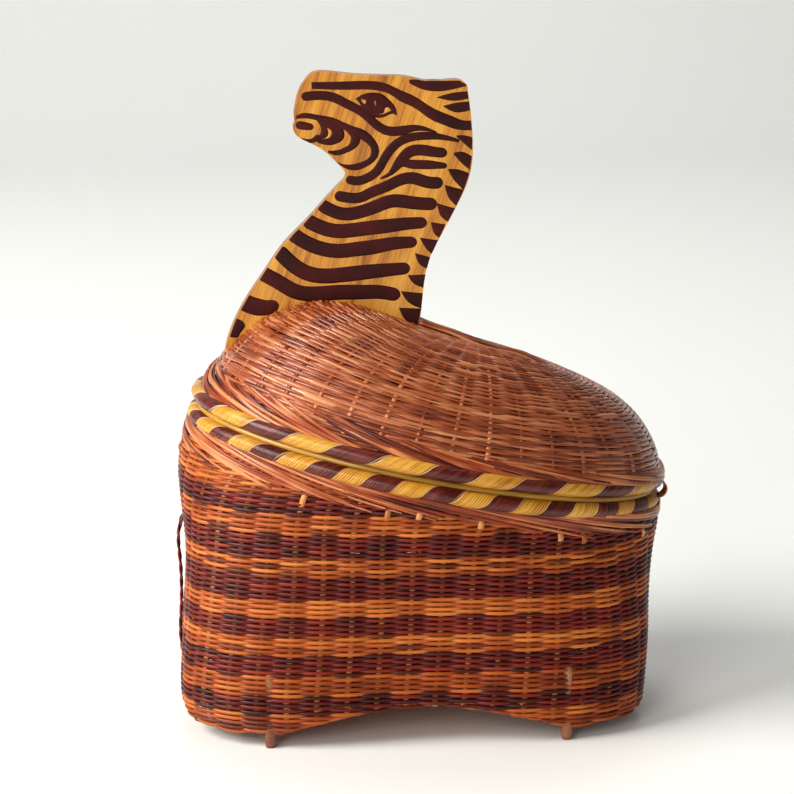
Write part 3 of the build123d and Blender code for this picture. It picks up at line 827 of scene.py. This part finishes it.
# The crest behind the neck: a bundle of round canes laid along the ridge, to
# which the weave is gathered.
crest_line = np.array([
    (-2.2, 161.4), (6.0, 158.2), (15.0, 154.6), (28.0, 150.0), (42.0, 145.6), (50.0, 141.4),
])
crest_steps = 40
crest_run, crest_x, crest_z = bent_line(crest_line, crest_steps)
dice = np.random.default_rng(71)
lane = np.array([-3.3, -2.2, -1.1, 0.0, 1.1, 2.2, 3.3])[:, None]
waver = 0.5 * np.sin(crest_run[None, :] / 9.0 + dice.random((len(lane), 1)) * 6.28)
crest_z = crest_z - 0.09 * lane**2 + 0.3 * np.cos(waver * 5)
path = points_at(crest_x, lane + waver, crest_z)
skin = cane_tubes(path, [0.3, 0.0, 0.954], 1.5, 1.2, sides=8)
tone = strand_tones(72, len(lane), crest_steps, 8)
make_piece("crest_canes", skin, lid_cane, tone, "lid", ["crest_spine"])

# The head board: sawn from one plank with its grain on a slant, sanded and
# varnished a golden yellow. Pores about 0.7 mm wide and bands about 6 mm wide
# run with the grain, and the sawn edges are left a paler brown.
grain_lean = math.radians(18)
board_wood, tree, shader = blank_material("varnished_yellow_wood")
place = node(tree, "TexCoord")
turned = node(tree, "Mapping", {"Vector": (place, "Object"), "Rotation": (0.0, -grain_lean, 0.0)})
fine = node(tree, "Mapping", {"Vector": turned, "Scale": (1500.0, 1500.0, 110.0)})
pores = node(tree, "TexNoise", {"Vector": fine, "Scale": 1.0, "Detail": 3.0})
broad = node(tree, "Mapping", {"Vector": turned, "Scale": (160.0, 160.0, 14.0)})
bands = node(tree, "TexNoise", {"Vector": broad, "Scale": 1.0, "Detail": 3.0, "Distortion": 0.6})
cloud = node(tree, "TexNoise", {"Vector": (place, "Object"), "Scale": 22.0, "Detail": 2.0})
shade = node(tree, "Math", {0: pores, 1: 0.7, 2: bands}, weighed)
shade = node(tree, "Math", {0: cloud, 1: 0.5, 2: shade}, weighed)
shade = node(tree, "Math", {0: shade, 1: 0.6}, less)
stops = ((0.2, "#84430C"), (0.5, "#C27E1E"), (0.85, "#E0A63E"))
ramp = node(tree, "ValToRGB", {"Fac": shade}, {"stops": stops})
split = node(tree, "SeparateXYZ", {"Vector": (place, "Normal")})
square_on = node(tree, "Math", {0: (split, "Y")}, size_of)
at_side = node(tree, "Math", {0: square_on, 1: 0.5}, {"operation": "LESS_THAN"})
tones = {"Factor": at_side, 6: ramp, 7: linear("#8A5A2C")}
mixed = node(tree, "Mix", tones, {"data_type": "RGBA"})
gloss = {"Roughness": 0.4, "Coat Weight": 0.25, "Coat Roughness": 0.25}
finish_shader(tree, shader, (mixed, 2), (pores, 0.25, 0.0002), gloss)
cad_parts["head_board"].material_slots[0].material = board_wood

# The zebra's stripes, eye and muzzle, brushed on both faces of the board in
# thick maroon paint. A stripe is its middle line, in tenths of a mm, and its
# widths in mm from end to end; a patch is its upper and its lower edge.
stroke_steps = 40
board_half = 3.0
edge_margin = 0.15


def run_along(line):
    """Steps in mm along a smooth curve through a few points in tenths, set by a cosine so that
    they crowd towards its two ends."""
    line = np.array(line) / 10.0
    marks = mm_along(line)
    at = marks[-1] * (0.5 - 0.5 * np.cos(np.linspace(0, math.pi, stroke_steps)))
    return np.stack([through_points(at, marks, line[:, 0]), through_points(at, marks, line[:, 1])], axis=-1)


def brush_stroke(line, widths):
    """Upper and lower edge of a brush stroke: its middle line moved each way by half its
    width, with both ends rounded to half circles."""
    middle = run_along(line)
    travel = np.gradient(middle, axis=0)
    travel /= np.linalg.norm(travel, axis=1, keepdims=True)
    beside = np.stack([-travel[:, 1], travel[:, 0]], axis=-1)
    run = mm_along(middle)
    width = np.interp(run / run[-1], np.linspace(0, 1, len(widths)), widths)
    near_end = np.minimum(run, run[-1] - run)
    width = width * np.sqrt(1 - (1 - np.minimum(2 * near_end / width, 1)) ** 2)
    return middle + beside * width[:, None] / 2, middle - beside * width[:, None] / 2


board_left = np.array([
    (-809, 1510), (-765, 1634), (-707, 1735), (-638, 1836), (-573, 1928), (-476, 2028), (-395, 2118),
    (-329, 2186), (-321, 2212), (-343, 2244), (-378, 2280), (-428, 2320), (-489, 2349), (-520, 2374),
    (-528, 2401), (-520, 2420), (-524, 2452), (-519, 2488), (-511, 2523), (-475, 2590),
]) / 10.0
board_right = np.array([
    (-34, 1570), (-18, 1647), (-6, 1766), (14, 1859), (58, 1952), (126, 2081), (164, 2165), (185, 2250),
    (187, 2354), (175, 2481), (163, 2561),
]) / 10.0
board_top = np.array([
    (-475, 2590), (-446, 2615), (-396, 2619), (-293, 2607), (-143, 2601), (-66, 2594), (-10, 2581),
    (80, 2581), (133, 2581), (163, 2561),
]) / 10.0


def on_both_faces(edges, height):
    """Skin of patches of paint: six points round each step, the upper edge, three on the paint's
    crown, the lower edge and one inside the wood. Edges are kept on the board."""
    edges = np.array(edges)
    x, z = edges[..., 0], edges[..., 1]
    z = np.minimum(z, np.interp(x, board_top[:, 0], board_top[:, 1]) - edge_margin)
    x = np.maximum(x, np.interp(z, board_left[:, 1], board_left[:, 0]) + edge_margin)
    x = np.minimum(x, np.interp(z, board_right[:, 1], board_right[:, 0]) - edge_margin)
    upper, lower = np.stack([x[:, 0], z[:, 0]], -1), np.stack([x[:, 1], z[:, 1]], -1)
    shares = np.array([0.0, 0.12, 0.5, 0.88, 1.0, 0.5])
    depths = board_half + np.array([-0.03, height, height * 1.15, height, -0.03, -0.25])
    spots = upper[:, :, None, :] * (1 - shares[:, None]) + lower[:, :, None, :] * shares[:, None]
    front = points_at(spots[..., 0], -depths, spots[..., 1])
    back = (front * [1.0, -1.0, 1.0])[:, :, ::-1]
    return skin_of_rings(np.concatenate([front, back]))


strokes = [
    ([(-499, 2355), (-475, 2345), (-450, 2347), (-424, 2366)], (0.9, 1.6, 2.1, 2.6)),
    ([(-495, 2519), (-361, 2514), (-322, 2494), (-262, 2462), (-215, 2422), (-163, 2385), (-103, 2381),
      (-44, 2392), (44, 2373)], (3.8, 3.9, 3.6, 4.1, 0.7)),
    ([(-518, 2411), (-480, 2404), (-447, 2399)], (3.4, 3.4, 2.7)),
    ([(-319, 2193), (-275, 2183), (-235, 2194), (-203, 2214), (-179, 2246), (-159, 2282), (-137, 2311),
      (-107, 2337), (-65, 2354), (-20, 2360), (32, 2359), (84, 2351), (134, 2338)],
      (3.8, 3.9, 3.9, 3.4, 1.4)),
    ([(-147, 2205), (-123, 2233), (-95, 2269), (-65, 2297), (-19, 2304), (33, 2296), (85, 2291)],
      (1.8, 4.6, 4.8, 4.6, 4.1)),
    ([(-183, 2191), (-135, 2217), (-91, 2253), (-65, 2249), (-29, 2246), (21, 2244), (85, 2239)],
      (0.8, 2.5, 3.9, 3.9, 2.3)),
    ([(-365, 2127), (-315, 2117), (-263, 2116), (-223, 2134), (-155, 2161), (-103, 2185), (-51, 2192),
      (5, 2175), (69, 2173)], (4.5, 4.5, 4.7, 5.1, 5.1)),
    ([(-430, 2096), (-372, 2063), (-324, 2050), (-264, 2058), (-195, 2081), (-131, 2101), (-63, 2094),
      (45, 2086)], (5.5, 5.5, 5.7, 5.3)),
    ([(-490, 2034), (-412, 1995), (-356, 1982), (-292, 1985), (-224, 1993), (-155, 2000), (-91, 2007),
      (5, 2012)], (6.1, 6.1, 6.1, 4.7)),
    ([(-550, 1984), (-477, 1935), (-413, 1910), (-345, 1901), (-276, 1908), (-212, 1915), (-143, 1927),
      (-35, 1933)], (6.1, 6.1, 6.3, 4.7)),
    ([(-600, 1916), (-533, 1847), (-478, 1813), (-413, 1800), (-345, 1803), (-256, 1812), (-156, 1821),
      (-63, 1828)], (6.5, 6.5, 6.5, 5.1)),
    ([(-675, 1824), (-586, 1774), (-518, 1736), (-454, 1727), (-357, 1732), (-257, 1732), (-184, 1731),
      (-103, 1714)], (6.3, 6.5, 6.5, 5.7)),
    ([(-755, 1710), (-676, 1677), (-627, 1677), (-595, 1692)], (7.5, 7.5, 5.1)),
    ([(-810, 1575), (-757, 1600), (-729, 1604)], (10.0, 8.8, 3.7)),
]
patches = [
    ([(-455, 2578), (-294, 2581), (-203, 2580), (-147, 2567), (-103, 2545), (-44, 2519), (4, 2487),
      (56, 2459), (108, 2438), (148, 2422), (190, 2422)],
     [(-452, 2550), (-294, 2545), (-183, 2540), (-147, 2528), (-107, 2500), (-56, 2476), (-8, 2443),
      (32, 2417), (68, 2403), (108, 2387), (190, 2380)]),
    ([(-515, 2446), (-492, 2456), (-441, 2451), (-362, 2435), (-302, 2407), (-243, 2386), (-199, 2342),
      (-187, 2318), (-187, 2286), (-203, 2262), (-231, 2242), (-265, 2227), (-307, 2227), (-337, 2243),
      (-360, 2264)],
     [(-515, 2432), (-490, 2434), (-436, 2426), (-380, 2406), (-326, 2386), (-272, 2356), (-236, 2332),
      (-223, 2318), (-219, 2298), (-224, 2282), (-235, 2270), (-259, 2259), (-291, 2251), (-327, 2251),
      (-355, 2260)]),
    ([(-418, 2438), (-356, 2420), (-324, 2382), (-324, 2354), (-348, 2334), (-384, 2326), (-424, 2334)],
     [(-434, 2424), (-424, 2408), (-420, 2394), (-422, 2380), (-428, 2370), (-440, 2358), (-452, 2350)]),
    ([(-324, 2418), (-288, 2398), (-264, 2370), (-260, 2342), (-280, 2314), (-320, 2294), (-364, 2286),
      (-392, 2298)],
     [(-326, 2390), (-312, 2374), (-300, 2358), (-302, 2344), (-308, 2330), (-326, 2318), (-344, 2310),
      (-388, 2306)]),
    ([(-280, 2511), (-250, 2529), (-203, 2536), (-167, 2526), (-143, 2504), (-123, 2480), (-115, 2444)],
     [(-280, 2509), (-264, 2491), (-254, 2466), (-229, 2442), (-203, 2433), (-163, 2437), (-131, 2449),
      (-116, 2442)]),
    ([(-68, 2584), (44, 2588), (160, 2580)],
     [(-66, 2569), (-10, 2543), (60, 2536), (120, 2546), (166, 2558)]),
    ([(44, 2514), (94, 2529), (169, 2537)], [(44, 2512), (106, 2498), (169, 2506)]),
    ([(68, 2479), (115, 2491), (178, 2497)], [(68, 2477), (118, 2452), (178, 2460)]),
    ([(122, 2361), (155, 2362), (188, 2353)], [(122, 2355), (152, 2328), (188, 2296)]),
    ([(112, 2291), (136, 2297), (188, 2276)], [(112, 2284), (146, 2246), (188, 2212)]),
    ([(89, 2227), (129, 2226), (182, 2206)], [(89, 2224), (109, 2186), (154, 2138)]),
    ([(77, 2163), (154, 2144)], [(77, 2160), (89, 2114), (122, 2076)]),
    ([(45, 2090), (120, 2069)], [(45, 2087), (66, 2029), (90, 2012)]),
    ([(21, 2014), (80, 2005)], [(21, 2011), (46, 1953), (56, 1948)]),
    ([(-23, 1951), (56, 1940)], [(-23, 1948), (18, 1888), (26, 1882)]),
    ([(-43, 1889), (22, 1871)], [(-43, 1886), (-22, 1839), (8, 1822)]),
    ([(-71, 1799), (0, 1802)], [(-71, 1796), (-51, 1766), (-6, 1744)]),
    ([(-99, 1734), (-6, 1725)], [(-99, 1731), (-71, 1688), (-14, 1658)]),
    ([(-107, 1666), (-14, 1663)], [(-107, 1663), (-83, 1615), (-24, 1585)]),
]
painted = [brush_stroke(*stroke) for stroke in strokes]
painted += [(run_along(upper), run_along(lower)) for upper, lower in patches]
# The paint dries nearly matt and almost black, patchy over some 17 mm, with specks of wear 1 mm wide.
maroon_paint, tree, shader = blank_material("brushed_maroon_paint")
place = node(tree, "TexCoord")
worn = node(tree, "TexNoise", {"Vector": (place, "Object"), "Scale": 900.0, "Detail": 4.0})
patchy = node(tree, "TexNoise", {"Vector": (place, "Object"), "Scale": 60.0, "Detail": 3.0})
shade = node(tree, "Math", {0: worn, 1: 0.5, 2: patchy}, weighed)
shade = node(tree, "Math", {0: shade, 1: 0.25}, less)
stops = ((0.3, "#240201"), (0.55, "#380403"), (0.8, "#4C0D08"))
ramp = node(tree, "ValToRGB", {"Fac": shade}, {"stops": stops})
gloss = {"Roughness": 0.55, "Specular IOR Level": 0.2}
finish_shader(tree, shader, ramp, (worn, 0.3, 0.0001), gloss)
paint_height = 0.12
skin = on_both_faces(painted, paint_height)
make_piece("painted_stripes", skin, maroon_paint, None, "lid", [])

# Bare wood left inside the paint: the whites of the eye, its upright glint and
# the light crescent at the nostril. It lies a little over the paint.
bare_height = 0.2
bare = [
    ([(-258, 2511), (-238, 2506)], [(-258, 2509), (-254, 2497), (-242, 2487)]),
    ([(-185, 2449), (-166, 2457), (-161, 2474), (-154, 2477), (-139, 2464)],
     [(-185, 2447), (-161, 2451), (-139, 2462)]),
    ([(-391, 2396), (-373, 2382), (-376, 2364), (-410, 2352)],
     [(-392, 2393), (-389, 2377), (-392, 2364), (-411, 2350)]),
]
bare = [(run_along(upper), run_along(lower)) for upper, lower in bare]
bare += [brush_stroke([(-202, 2502), (-200, 2482)], (0.6, 0.8, 0.6))]
skin = on_both_faces(bare, bare_height)
make_piece("bare_wood_lights", skin, board_wood, None, "lid", [])
